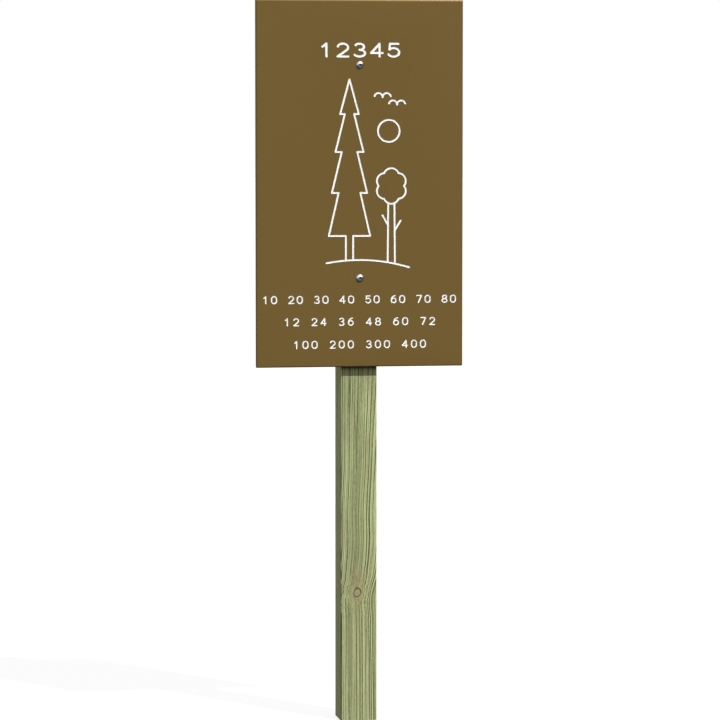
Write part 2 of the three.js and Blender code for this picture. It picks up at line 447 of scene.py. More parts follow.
# Knots, each as the root's place to the right and its height in mm, the branch's turn from straight ahead
# and its rise in degrees, its radius and taper, how far it moves the grain, and how much resin it bled
KNOTS = (
    (-8.5, 233, 14, 34, 5.3, 0.05, 9, 1.0),
    (0, 566, 118, 30, 4.5, 0.08, 7, 0.15),
    (0, 596, 196, 28, 6.5, 0.10, 9, 0.15),
    (0, 902, 205, 32, 5.0, 0.08, 8, 0.15),
    (0, 1122, 75, 36, 5.0, 0.08, 8, 0.15),
)

# How light the wood is, against the distance from the middle of the tree in mm
RINGS = (
    (0, 0.5), (20, 0.5), (22.6, 0.42), (23.6, 0.62), (24.6, 0.4), (25.4, 0.68), (26.6, 0.36), (27.6, 0.62),
    (28.6, 0.36), (29.6, 0.74), (30.9, 0.25), (32.2, 0.88), (33.6, 0.2), (34.6, 0.6), (35.4, 0.15),
    (36.9, 1.05), (38.4, 0.3), (39.6, 0.85), (41, 0.05), (42.2, 0.45), (43.6, 0.9), (45.4, 0.85), (46.8, 0.1),
    (47.8, 0.5), (49, 0.35), (50.6, 0.1), (52.8, 1.05), (55.2, 0.1), (57.5, 0.5), (60, 0.3), (64, 0.7),
    (68, 0.4),
)

# How far the grain sways to the right, and leans further at the right-hand face, against the height in mm
SWAY = (
    (0, -19), (200, -19), (235, -20), (270, -13), (300, -10), (345, -7), (406, -7), (484, -3.5), (560, -3),
    (680, -3), (1000, -3), (1365, 2),
)
LEAN = (
    (0, -2), (120, -4), (200, -6), (242, -8), (275, -4), (300, -1), (345, 0), (470, 0), (560, 4), (665, 10),
    (760, 12), (1000, 4), (1365, 0),
)


# Noises in the wood as (scale per mm along each axis, detail, roughness)
FIBRE = ((0.75, 0.75, 0.0045), 2, 0.6)
HAIR = ((2.6, 2.6, 0.05), 3, 0.6)
PORES = ((1.3, 1.3, 0.14), 2, 0.65)
RING_STRENGTH = ((0.09, 0.09, 0.0035), 2)
PATCHES = ((0.07, 0.07, 0.01), 3, 0.6)
RESIN_STREAKS = ((0.4, 0.4, 0.14), 2)
BEND = (0.02, 0.02, 0.004)
CURL = (0.06, 0.06, 0.11)

# The threads' number per mm, and which way across the trunk they follow one another
THREADS = 0.62
THREADS_TOWARDS = (0.8, 0.6, 0)

# The rings of a branch in radians per mm, the middle tone of the wood between its dark and its pale, and how
# much wood and sheet mirror
BRANCH_RINGS = 3.1
MIDDLE_TONE = 0.54
WOOD_SHEEN = 0.05
SHEET_SHEEN = 0.15


def softwood_material(post):
    """Pressure-treated softwood, cut through the rings of the whole trunk so that all faces agree."""
    material, graph, shader, place = new_material("treated_softwood")
    low, high = POST_LOW / MM, POST_HIGH / MM
    pith_y = low.y + post.pith_depth / MM

    # Branches, and where the wood at this point would lie in a straight trunk without them
    knot_tree = knot_group()
    found = {"Inside": [], "Bark": [], "Near": [], "Tail": []}
    rings_inside = 0.0
    bled = 0.0
    grown = place
    for root_x, root_z, turn, rise, knot_radius, taper, reach, resin in KNOTS:
        turn, rise = math.radians(turn), math.radians(rise)
        heading = (math.sin(turn) * math.cos(rise), -math.cos(turn) * math.cos(rise), math.sin(rise))
        out = graph.group(knot_tree, {
            "Position": place, "Root": (root_x, pith_y, root_z), "Heading": heading,
            "Radius": knot_radius, "Taper": taper, "Reach": reach,
        })
        for name, values in found.items():
            values.append(out[name])
        ripple = graph.math("SINE", graph.times(out["Out"], BRANCH_RINGS))
        rings_inside = graph.math("MULTIPLY_ADD", ripple, out["Inside"], rings_inside)
        bled = graph.math("MULTIPLY_ADD", out["Near"], resin, bled)
        grown = graph.vector("ADD", grown, out["Push"])
    in_knot, in_bark, near_knot, in_tail = (graph.most(*values) for values in found.values())
    wild = graph.times(graph.math("POWER", near_knot, 0.6), 19.0)
    for shift in (graph.drift(place, BEND, 4.0), graph.drift(place, CURL, wild)):
        grown = graph.vector("ADD", grown, shift)
    x, y, z = graph.separate(place)
    to_right = graph.over(graph.minus(x, low.x), high.x - low.x)
    lean = graph.times(to_right, to_right)
    aside = graph.math("MULTIPLY_ADD", graph.curve(z, LEAN), lean, graph.curve(z, SWAY))
    arm = graph.vector("SUBTRACT", grown, graph.combine(aside, pith_y, 0.0))
    radius = graph.vector("LENGTH", graph.vector("MULTIPLY", arm, (1, 1, 0)))

    # Growth rings, some of them faint for part of their way up the trunk, and all fainter near the foot
    shade = graph.curve(graph.times(radius, RINGS[-1][0] / (post.trunk / MM)), RINGS, "EASE")
    strength = graph.ease(graph.noise(arm, *RING_STRENGTH), 0.34, 0.6, 0.6, 1.6)
    strength = graph.times(strength, graph.ease(z, 180.0, 260.0, 0.6, 1.0))
    level = graph.stir(MIDDLE_TONE, shade, strength)

    # Threads and fibres, drawn out along the trunk, and the short pores between them
    thread = graph.noise_along(graph.vector("DOT_PRODUCT", arm, THREADS_TOWARDS), THREADS, 1)
    fibre, hair, pores = (graph.noise(arm, *values) for values in (FIBRE, HAIR, PORES))
    # The threads are faintest where a face lies nearest to the middle of the tree, above the foot
    faintest = graph.ease(z, 240.0, 340.0, 2.6, 1.45)
    thread_share = graph.ease(radius, 23.0, 29.0, faintest, 3.0)
    for source, share in ((thread, thread_share), (fibre, 1.7), (hair, 0.5), (pores, 1.0)):
        level = graph.stir(level, source, share)
    level = graph.least(graph.most(level, 0.0), 1.0)
    wood = graph.blend(level, post.dark, post.pale)

    # Brownish patches, more of them above and below the knots, and resin beside the knots
    patch = graph.ease(graph.noise(arm, *PATCHES), 0.44, 0.72, 0.0, 0.42)
    stain = graph.most(in_tail, graph.times(near_knot, 0.7))
    stain = graph.times(stain, graph.ease(fibre, 0.34, 0.6, 0.15, 0.8))
    wood = graph.blend(graph.most(patch, stain), wood, post.blush)
    streak = graph.times(bled, graph.ease(graph.noise(grown, *RESIN_STREAKS), 0.46, 0.6, 0.0, 0.85))
    wood = graph.blend(streak, wood, post.resin)

    # Knots and their bark
    knot_level = graph.stir(graph.math("MULTIPLY_ADD", rings_inside, 0.1, 0.95), hair, 0.8)
    knot_tone = graph.combine(knot_level, knot_level, knot_level)
    wood = graph.blend(in_knot, wood, graph.blend(1.0, post.knot, knot_tone, "MULTIPLY"))
    wood = graph.blend(graph.times(in_bark, 0.85), wood, post.bark)

    # The sawn top soaks up more of the treatment, and the arrises are rubbed paler
    end_grain = graph.ease(z, high.z - 1.0, high.z - 0.4)
    wood = graph.blend(graph.times(end_grain, 0.45), wood, post.dark)
    rub = rub_of(graph, place, POST_LOW, POST_HIGH, 4.0, 5.0)
    wood = graph.blend(graph.times(rub, 0.22), wood, post.pale)

    # Painted shade just under the board: dark across the front right under its lower edge, and a little on
    # the sides
    below = graph.minus(z, BOARD_LOW.z / MM)
    painted_contact_shade = graph.times(graph.bell(below, 4.4), 0.85)
    under_board_painted_shade = graph.times(graph.bell(below, 50.0), graph.ease(y, low.y + 60.0, low.y + 4.0, 0.0, 0.15))
    front = graph.ease(y, low.y + 3.0, low.y + 0.5)
    under_board_painted_shade = graph.math("MULTIPLY_ADD", front, graph.minus(painted_contact_shade, under_board_painted_shade), under_board_painted_shade)
    wood = graph.blend(under_board_painted_shade, wood, post.painted_contact_shade)

    grit = speckle_of(graph, place, 0.5, (1, 1, 0.08))["Level"]
    rough = graph.ease(grit, 0.2, 0.8, 0.68, 0.88)
    height = graph.math("MULTIPLY_ADD", level, 0.6, graph.times(grit, 0.5))
    height = graph.math("MULTIPLY_ADD", in_bark, -0.8, height)
    feed_shader(graph, shader, wood, rough, height, 0.35, 0.25)
    shader["Specular IOR Level"].default_value = WOOD_SHEEN
    return material


def board_material(board):
    """Matt brown sheet, coloured right through, with a fine even texture."""
    material, graph, shader, place = new_material("brown_sheet")
    grain = speckle_of(graph, place, 0.8)
    z = graph.separate(place)[2]
    low, high = BOARD_LOW.z / MM, BOARD_HIGH.z / MM
    face = graph.blend(grain["Level"], board.face * 0.95, board.face * 1.05)
    face = graph.blend(graph.ease(grain["Broad"], 0.3, 0.7, 0.0, 0.05), face, board.mottle)
    rub = rub_of(graph, place, BOARD_LOW, BOARD_HIGH, 1.8, 2.2)
    face = graph.blend(graph.times(rub, 0.4), face, tuple(c * 1.5 + 0.02 for c in board.face))
    # Painted highlight along the upper edge, where the light from above falls on it, and painted shade along
    # the lower edge, which faces down
    face = graph.blend(graph.ease(z, high - 4.2, high - 1.4), face, board.painted_highlight)
    face = graph.blend(graph.ease(z, low + 2.6, low + 1.0, 0.0, 0.6), face, board.painted_shade)
    rough = graph.ease(grain["Level"], 0.25, 0.75, 0.5, 0.62)
    feed_shader(graph, shader, face, rough, grain["Level"], 0.2, 0.08)
    shader["Specular IOR Level"].default_value = SHEET_SHEEN
    return material


def paint_material(board):
    """White paint, brushed into the grooves."""
    material, graph, shader, place = new_material("white_paint")
    coat = speckle_of(graph, place, 1.6)["Level"]
    white = graph.blend(graph.ease(coat, 0.1, 0.45), board.paint * 0.9, board.paint)
    feed_shader(graph, shader, white, graph.ease(coat, 0.3, 0.7, 0.38, 0.5), coat, 0.25, 0.1)
    return material


def steel_material(fasteners):
    """Stainless steel that has weathered to a satin, with a painted reflection on the bolts' heads and
    painted shade in their sockets.
    """
    material, graph, shader, place = new_material("stainless_steel")
    film = speckle_of(graph, place, 0.35)
    drawn = speckle_of(graph, place, 0.25, (1, 0.08, 1))
    # How far a point lies above the axis of the nearer bolt, how far from it, and how far behind the
    # crown of the heads
    x, y, z = graph.separate(place)
    lowest, half_way = BOLT_HEIGHTS[0] / MM, BOLT_SPACING / MM / 2
    rise = graph.minus(graph.math("WRAP", z, lowest + half_way, lowest - half_way), lowest)
    reach = graph.vector("LENGTH", graph.combine(x, rise, 0.0))
    behind = graph.minus(y, BOLT_LOW.y / MM)
    # Painted reflection on the heads: pale on the upper side, as a bright sky would show in them, and dark on
    # the lower side, as a dark ground would; the height where the colour changes tilts a little and wavers,
    # and the parts behind the board's face keep the plain steel
    rain = graph.plus(graph.math("MULTIPLY_ADD", x, -0.3, rise), graph.minus(film["Level"], 0.5))
    steel = graph.blend(graph.ease(rain, -0.6, 3.4), fasteners.painted_ground_reflection, fasteners.painted_sky_reflection)
    behind_board_face = graph.ease(y, BOARD_LOW.y / MM, BOARD_HIGH.y / MM)
    steel = graph.blend(behind_board_face, steel, fasteners.steel)
    steel = graph.blend(graph.ease(film["Broad"], 0.3, 0.7, 0.18, 0.0), steel, (0, 0, 0))
    # Painted shade inside the sockets, which are made dark, matt and not metallic
    painted_shade = graph.times(
        graph.ease(behind, 0.5, 1.6), graph.ease(behind, 8.0, 6.0), graph.ease(reach, 3.4, 3.0),
        graph.ease(film["Level"], 0.2, 0.6, 0.3, 0.9),
    )
    graph.feed(shader["Metallic"], graph.minus(1.0, painted_shade))
    rough = graph.most(graph.ease(film["Level"], 0.2, 0.8, 0.44, 0.54), painted_shade)
    feed_shader(graph, shader, graph.blend(painted_shade, steel, fasteners.painted_shade), rough, drawn["Level"], 0.2, 0.03)
    return material


def insert_material(fasteners):
    """Natural nylon, slightly waxy."""
    material, graph, shader, place = new_material("natural_nylon")
    cloud = speckle_of(graph, place, 0.5)["Level"]
    waxy = graph.blend(cloud, fasteners.insert * 0.85, fasteners.insert)
    feed_shader(graph, shader, waxy, graph.ease(cloud, 0.3, 0.7, 0.38, 0.5), cloud, 0.15, 0.03)
    return material


def stainless(fasteners):
    """The one steel that bolts, washers and nuts share."""
    return bpy.data.materials.get("stainless_steel") or steel_material(fasteners)


# Meshes


CORNER_STEPS = 8
TURNED_STEPS = 48
CREASE = math.radians(30)


def mesh_from(name, points, faces=(), edges=()):
    mesh = bpy.data.meshes.new(name)
    mesh.from_pydata(points, edges, faces)
    mesh.update()
    return mesh


def object_from(name, data):
    piece = bpy.data.objects.new(name, data)
    bpy.context.scene.collection.objects.link(piece)
    return piece


def rounded_ring(width, depth, radius, inset, height):
    """One ring of a rounded rectangle, drawn in by inset all round."""
    radius = max(radius - inset, 0.2 * MM)
    x = width / 2 - inset - radius
    y = depth / 2 - inset - radius
    ring = []
    for quarter, (corner_x, corner_y) in enumerate(((x, y), (-x, y), (-x, -y), (x, -y))):
        for step in range(CORNER_STEPS + 1):
            angle = (quarter + step / CORNER_STEPS) * math.pi / 2
            ring.append((corner_x + radius * math.cos(angle), corner_y + radius * math.sin(angle), height))
    return ring


def skin(name, rings, looped=False):
    """Joins rings of equal point count into one closed mesh. A looped skin runs back to its first ring."""
    count = len(rings[0])
    points = [point for ring in rings for point in ring]
    faces = []
    for row in range(len(rings) if looped else len(rings) - 1):
        here = row * count
        there = (row + 1) % len(rings) * count
        for i in range(count):
            after = (i + 1) % count
            faces.append((here + i, here + after, there + after, there + i))
    if not looped:
        faces.append(tuple(reversed(range(count))))
        faces.append(tuple(range(len(points) - count, len(points))))
    return mesh_from(name, points, faces)


def turned_ring(radius, y, flats=False, steps=TURNED_STEPS):
    """One ring about the Y axis. With flats, radius is half the width across a hexagon's flats."""
    ring = []
    for step in range(steps):
        angle = 2 * math.pi * step / steps
        reach = radius
        if flats:
            reach = radius / math.cos(angle % (math.pi / 3) - math.pi / 6)
        rise = y(reach) if callable(y) else y
        ring.append((reach * math.sin(angle), rise, reach * math.cos(angle)))
    return ring


def turned_loop(name, outline, steps=TURNED_STEPS):
    """A ring-shaped mesh about the Y axis, from its outline as (radius, y) and, for a hexagon, True."""
    rings = [turned_ring(*point, steps=steps) for point in reversed(outline)]
    return skin(name, rings, looped=True)


def crisp(piece):
    """Smooth over curves and sharp over edges."""
    piece.data.shade_smooth()
    piece.data.set_sharp_from_angle(angle=CREASE)


def settle(piece):
    """Swaps the modifiers on a piece for the plain mesh that they make."""
    depsgraph = bpy.context.evaluated_depsgraph_get()
    mesh = bpy.data.meshes.new_from_object(piece.evaluated_get(depsgraph), depsgraph=depsgraph)
    mesh.name = piece.name
    piece.modifiers.clear()
    piece.data = mesh


def run_tree(piece, tree, values):
    """Puts a geometry node tree on a piece, sets its named inputs and keeps the mesh that it makes."""
    modifier = piece.modifiers.new(tree.name, "NODES")
    modifier.node_group = tree
    for item in tree.interface.items_tree:
        if item.in_out == "INPUT" and item.name in values:
            modifier[item.identifier] = values[item.name]
    settle(piece)
    crisp(piece)


# Geometry node trees


LEVEL_TO_UPRIGHT = (math.pi / 2, 0, 0)
HOLE_INPUTS = {
    "Hole Radius": 4.5 * MM, "First Hole": (0, 0, 0), "Hole Spacing": 0.4, "Hole Length": 0.1,
}


def bolt_drills(graph, given):
    """Cutters for the bolt holes: cylinders along Z, spaced along Y."""
    row = graph.first("GeometryNodeMeshLine", {
        "Count": len(BOLT_HEIGHTS), "Start Location": given["First Hole"],
        "Offset": graph.combine(0.0, given["Hole Spacing"], 0.0),
    })
    drill = graph.first("GeometryNodeMeshCylinder", {
        "Vertices": TURNED_STEPS, "Radius": given["Hole Radius"], "Depth": given["Hole Length"],
    })
    return graph.first("GeometryNodeInstanceOnPoints", {"Points": row, "Instance": drill})


def hole_values(radius, height, length_along):
    """What to set a tree's hole inputs to, for holes whose middles lie at a height while it is cut."""
    return {
        "Hole Radius": radius, "First Hole": (0, BOLT_HEIGHTS[0], height),
        "Hole Spacing": BOLT_SPACING, "Hole Length": length_along,
    }


def cut_away(graph, solid, cutters):
    return graph.first(
        "GeometryNodeMeshBoolean", {"Mesh 1": solid, "Mesh 2": cutters},
        operation="DIFFERENCE", solver="MANIFOLD",
    )


def made_real(graph, geometry, material):
    """Turns instances into a mesh and gives it its material."""
    real = graph.first("GeometryNodeRealizeInstances", {0: geometry})
    return graph.first("GeometryNodeSetMaterial", {"Geometry": real, "Material": material})


def routed_lines_tree():
    """Cutters along centre lines that lie in a level plane: one per stroke, with round ends."""
    graph, given, made = new_group(
        "Routed lines", "GeometryNodeTree",
        {"Lines": OBJECT, "Width": 3 * MM, "Depth": 0.7 * MM}, {"Cutters": GEOMETRY},
    )
    lines = graph.add("GeometryNodeObjectInfo", {"Object": given["Lines"]}).outputs["Geometry"]
    curves = graph.first("GeometryNodeMeshToCurve", {"Mesh": lines})
    curves = graph.first("GeometryNodeSetCurveNormal", {"Curve": curves}, mode="Z_UP")
    both_ways = graph.times(given["Depth"], 2.0)
    profile = graph.first("GeometryNodeCurvePrimitiveQuadrilateral", {
        "Width": given["Width"], "Height": both_ways,
    })
    swept = graph.first("GeometryNodeCurveToMesh", {
        "Curve": curves, "Profile Curve": profile, "Fill Caps": True,
    })
    island = graph.first("GeometryNodeInputMeshIsland")
    strokes = graph.first("GeometryNodeSplitToInstances", {0: swept, "Group ID": island}, domain="FACE")
    bit = graph.first("GeometryNodeMeshCylinder", {
        "Vertices": 32, "Radius": graph.times(given["Width"], 0.5), "Depth": both_ways,
    })
    ends = graph.first("GeometryNodeCurveEndpointSelection")
    plunges = graph.first("GeometryNodeInstanceOnPoints", {
        "Points": curves, "Selection": ends, "Instance": bit,
    })
    cutters = graph.first("GeometryNodeJoinGeometry", {"Geometry": [strokes, plunges]})
    marked = graph.first("GeometryNodeStoreNamedAttribute", {
        "Geometry": cutters, "Name": "painted", "Value": True,
    }, data_type="BOOLEAN", domain="FACE")
    graph.feed(made["Cutters"], marked)
    return graph.tree


def routed_board_tree():
    """Cuts the markings and the bolt holes into a slab that lies level, paints the cuts and stands it up."""
    markings = ("Title", "Picture", "Rows")
    graph, given, made = new_group(
        "Routed board", "GeometryNodeTree",
        {
            "Slab": GEOMETRY, **{name: OBJECT for name in markings},
            **{name + " Width": 3 * MM for name in markings},
            "Depth": 0.7 * MM, **HOLE_INPUTS, "Sheet": MATERIAL, "Paint": MATERIAL,
        },
        {"Board": GEOMETRY},
    )
    lines_tree = routed_lines_tree()
    cutters = [
        graph.group(
            lines_tree,
            {"Lines": given[name], "Width": given[name + " Width"], "Depth": given["Depth"]},
            "GeometryNodeGroup",
        )["Cutters"]
        for name in markings
    ]
    cut = cut_away(graph, given["Slab"], cutters + [bolt_drills(graph, given)])
    # Where strokes meet, the cut leaves points that all but coincide
    cut = graph.first("GeometryNodeMergeByDistance", {"Geometry": cut, "Distance": 0.02 * MM})
    upright = graph.first("GeometryNodeTransform", {"Geometry": cut, "Rotation": LEVEL_TO_UPRIGHT})
    sheet = made_real(graph, upright, given["Sheet"])
    painted = graph.first("GeometryNodeInputNamedAttribute", {"Name": "painted"}, data_type="BOOLEAN")
    finished = graph.first("GeometryNodeSetMaterial", {
        "Geometry": sheet, "Selection": painted, "Material": given["Paint"],
    })
    graph.feed(made["Board"], finished)
    return graph.tree


def bored_post_tree():
    """Bores the bolt holes through a post and opens its drying checks, wedges along lines on its faces."""
    graph, given, made = new_group(
        "Bored post", "GeometryNodeTree",
        {"Blank": GEOMETRY, "Checks": OBJECT, **HOLE_INPUTS, "Timber": MATERIAL}, {"Post": GEOMETRY},
    )
    # The drills lie along Z, and the post's holes run along Y
    drills = graph.first("GeometryNodeTransform", {
        0: bolt_drills(graph, given), "Rotation": LEVEL_TO_UPRIGHT,
    })
    checks = graph.add("GeometryNodeObjectInfo", {"Object": given["Checks"]}).outputs["Geometry"]
    cut = cut_away(graph, given["Blank"], [drills, checks])
    graph.feed(made["Post"], made_real(graph, cut, given["Timber"]))
    return graph.tree


def fastener_row_tree():
    """Repeats one fastener up the sign, each turned by chance about its own axis."""
    graph, given, made = new_group(
        "Fastener row", "GeometryNodeTree",
        {"Fastener": GEOMETRY, "Count": 2, "Lowest": 0.8, "Spacing": 0.4, "Seed": 0, "Metal": MATERIAL},
        {"Row": GEOMETRY},
    )
    row = graph.first("GeometryNodeMeshLine", {
        "Count": given["Count"], "Start Location": graph.combine(0.0, 0.0, given["Lowest"]),
        "Offset": graph.combine(0.0, 0.0, given["Spacing"]),
    })
    turn = graph.first("FunctionNodeRandomValue", {
        "Min": (0, 0, 0), "Max": (0, 2 * math.pi, 0), "Seed": given["Seed"],
    }, data_type="FLOAT_VECTOR")
    placed = graph.first("GeometryNodeInstanceOnPoints", {
        "Points": row, "Instance": given["Fastener"], "Rotation": turn,
    })
    graph.feed(made["Row"], made_real(graph, placed, given["Metal"]))
    return graph.tree


# Post


# Drying checks as (face, sideways place, lowest point, highest point), in millimetres
CHECKS = (
    ("back", 6, 150, 470),
    ("back", -3, 930, 1225),
    ("right", 8, 730, 905),
)
CHECK_STEPS = 26
# How far a check wanders at each step in mm, how wide and how deep its ends are, as shares of its middle, and
# the power of the sine that its opening follows
CHECK_WANDER = 0.35
CHECK_END_WIDTH = 0.05
CHECK_END_DEPTH = 0.35
CHECK_FULLNESS = 0.7
# How far the planed faces are out of true, in mm
SHAFT_UNEVENNESS = 0.12
SHAFT_STEPS = 90
POST_SEED = 7


def check_wedge(points, faces, face, side, low, high, width, depth, rng):
    """Adds one wedge that starts from nothing, opens and closes again, with its blade turned to the pith."""
    outside = 1.5 * MM
    start = len(points)
    wander = 0.0
    for step in range(CHECK_STEPS + 1):
        share = step / CHECK_STEPS
        wander += rng.uniform(-CHECK_WANDER, CHECK_WANDER) * MM
        swell = math.sin(math.pi * share) ** CHECK_FULLNESS
        opening = max(CHECK_END_WIDTH, swell) * rng.uniform(0.8, 1.0)
        half = width * opening / 2 * (1 + outside / depth)
        across = side * MM + wander
        height = (low + (high - low) * share) * MM
        blade = depth * (CHECK_END_DEPTH + (1 - CHECK_END_DEPTH) * opening)
        for offset, out in ((-half, outside), (half, outside), (0, -blade)):
            if face == "back":
                points.append((across + offset, POST_HIGH.y + out, height))
            else:
                points.append((POST_HIGH.x + out, across - offset, height))
    for step in range(CHECK_STEPS):
        here = start + 3 * step
        for i in range(3):
            after = (i + 1) % 3
            faces.append((here + i, here + i + 3, here + after + 3, here + after))
    faces.append((start, start + 1, start + 2))
    last = start + 3 * CHECK_STEPS
    faces.append((last + 2, last + 1, last))


class PARKSIGN_OT_post(bpy.types.Operator):
    """Build the softwood post, with its eased edges, bolt holes and drying checks"""

    bl_idname = "park_sign.make_post"
    bl_label = "Post"

    def execute(self, context):
        post = context.scene.sign_post
        size = POST_HIGH - POST_LOW
        rng = random.Random(POST_SEED)
        shaft_top = size.z - post.top_chamfer
        # The foot's edges are broken by the saw, and the shaft has rings enough to be uneven
        levels = [(0.5 * MM, 0.0), (0.0, 0.5 * MM)]
        for row in range(1, SHAFT_STEPS):
            levels.append((rng.uniform(0.0, SHAFT_UNEVENNESS) * MM, shaft_top * row / SHAFT_STEPS))
        levels += [
            (0.0, shaft_top - 0.4 * MM), (0.2 * MM, shaft_top),
            (post.top_chamfer - 0.3 * MM, size.z - 0.3 * MM), (post.top_chamfer, size.z),
        ]
        rings = [rounded_ring(size.x, size.y, post.arris, inset, height) for inset, height in levels]
        piece = object_from("softwood_post", skin("softwood_post", rings))
        points, faces = [], []
        for check in CHECKS:
            check_wedge(points, faces, *check, post.check_width, post.check_depth, rng)
        checks = object_from("checks", mesh_from("checks", points, faces))
        run_tree(piece, bored_post_tree(), {
            "Checks": checks, "Timber": softwood_material(post),
            **hole_values(post.hole_radius, 0, size.y * 1.2),
        })
        bpy.data.objects.remove(checks)
        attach(piece, BODY)
        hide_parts("timber_post")
        return {"FINISHED"}


# Markings, drawn as centre lines


SPLIT_ANGLE = math.radians(28)
SAME_POINT = 0.05
EDGE_STEPS = 8


def arc(centre_x, centre_y, radius_x, radius_y, start, end, stride=11):
    """Points along an ellipse, from start to end in degrees, about a stride apart."""
    steps = max(2, round(abs(end - start) / stride))
    angles = [math.radians(start + (end - start) * step / steps) for step in range(steps + 1)]
    return [(centre_x + radius_x * math.cos(a), centre_y + radius_y * math.sin(a)) for a in angles]


def lobed_ring(centre_x, centre_y, radius_x, radius_y, lobes, lobe_radius):
    """A closed outline of round lobes, whose centres lie on an ellipse."""
    turns = [math.radians(90 + 360 * i / lobes) for i in range(lobes)]
    centres = [Vector((centre_x + radius_x * math.cos(a), centre_y + radius_y * math.sin(a))) for a in turns]
    dips = []
    for here, after in zip(centres, centres[1:] + centres[:1]):
        half = (after - here) / 2
        outward = Vector((half.y, -half.x)).normalized()
        dips.append(here + half + outward * math.sqrt(lobe_radius**2 - half.length_squared))
    outline = []
    for i, centre in enumerate(centres):
        first, last = dips[i - 1] - centre, dips[i] - centre
        start = math.degrees(math.atan2(first.y, first.x))
        sweep = (math.degrees(math.atan2(last.y, last.x)) - start) % 360
        outline += arc(centre.x, centre.y, lobe_radius, lobe_radius, start, start + sweep)
    return outline + outline[:1]


# The single-stroke numerals in use, in a box one wide and one high
NUMERALS = {
    "0": [arc(0.5, 0.64, 0.5, 0.36, 0, 180) + arc(0.5, 0.36, 0.5, 0.36, 180, 360) + [(1.0, 0.64)]],
    "1": [[(0.2, 0.76), (0.55, 1.0), (0.55, 0.0)]],
    "2": [arc(0.5, 0.7, 0.46, 0.3, 165, -38) + [(0.04, 0.0), (0.98, 0.0)]],
    "3": [arc(0.47, 0.76, 0.4, 0.24, 150, -90), arc(0.47, 0.26, 0.49, 0.26, 90, -150)],
    "4": [[(0.74, 0.0), (0.74, 1.0), (0.0, 0.28), (1.0, 0.28)]],
    "5": [[(0.9, 1.0), (0.17, 1.0)], [(0.17, 1.0)] + arc(0.48, 0.33, 0.5, 0.33, 136, -152)],
    "6": [arc(0.82, 0.32, 0.8, 0.68, 90, 180), arc(0.5, 0.32, 0.48, 0.32, 0, 360)],
    "7": [[(0.02, 1.0), (0.98, 1.0), (0.36, 0.0)]],
    "8": [arc(0.5, 0.76, 0.4, 0.24, -90, 270), arc(0.5, 0.26, 0.49, 0.26, 90, 450)],
}


def number_lines(text, left, right, middle, height, width):
    """Strokes for a line of numerals that fills the space from left to right, in millimetres."""
    step = (right - left - width) / (len(text) - 1)
    lines = []
    for place, figure in enumerate(text):
        for stroke in NUMERALS.get(figure, []):
            lines.append([
                (left + place * step + x * width, middle + (y - 0.5) * height) for x, y in stroke
            ])
    return lines


def mirrored(points, axis):
    return [(2 * axis - x, y) for x, y in points]


def picture_lines():
    """A plain outline picture in millimetres: a fir and a broad-leaved tree on a hill, sun and birds."""
    fir = -20
    left = [
        (fir, 1234), (fir - 18, 1168), (fir - 9, 1168), (fir - 27, 1096), (fir - 15, 1096),
        (fir - 34, 1018), (fir - 21, 1018), (fir - 40, 936), (fir - 7, 936), (fir - 7, 889.5),
    ]
    lines = [left, mirrored(left, fir)]
    tree = 60
    lines.append(lobed_ring(tree + 1, 1031, 15, 19, 6, 15))
    lines += [
        [(tree - 6, 886), (tree - 5, 999)],
        [(tree + 8, 884), (tree + 7, 999)],
        [(tree - 5, 955), (tree - 16, 975)],
        [(tree + 7, 945), (tree + 19, 965)],
        arc(56, 1136, 21, 21, 0, 360),
        arc(-2, 620, 300, 270, 102, 71, 2),
    ]
    for bird, height in ((44, 1204), (72, 1190)):
        lines += [
            arc(bird - 8, height - 4, 8, 8, 165, 0, 15),
            arc(bird + 8, height - 4, 8, 8, 15, 180, 15),
        ]
    return lines


def split_strokes(lines, height):
    """Breaks lines at their corners, so that the cutter makes each part as one smooth stroke. In metres."""
    points, edges = [], []

    def add(stroke):
        first = len(points)
        points.extend((x * MM, y * MM, height) for x, y in stroke)
        edges.extend((first + i, first + i + 1) for i in range(len(stroke) - 1))

    for line in lines:
        clean = [line[0]]
        for point in line[1:]:
            if math.dist(point, clean[-1]) > SAME_POINT:
                clean.append(point)
        stroke = clean[:2]
        for before, here, after in zip(clean, clean[1:], clean[2:]):
            turn = Vector((here[0] - before[0], here[1] - before[1])).angle(
                Vector((after[0] - here[0], after[1] - here[1]))
            )
            if turn > SPLIT_ANGLE:
                add(stroke)
                stroke = [here]
            stroke.append(after)
        add(stroke)
    return points, edges


# The rows of numerals as (text, left, right, height of the middle line), in millimetres
TITLE = ("12345", -76.5, 76.5, 1289.5)
ROWS = (
    ("10 20 30 40 50 60 70 80", -187, 186, 814.5),
    ("12 24 36 48 60 72", -145.5, 145.5, 772),
    ("100 200 300 400", -127.5, 127.5, 728.5),
)
TITLE_FIGURE = (24.3, 22)
ROW_FIGURE = (13.4, 9.6)


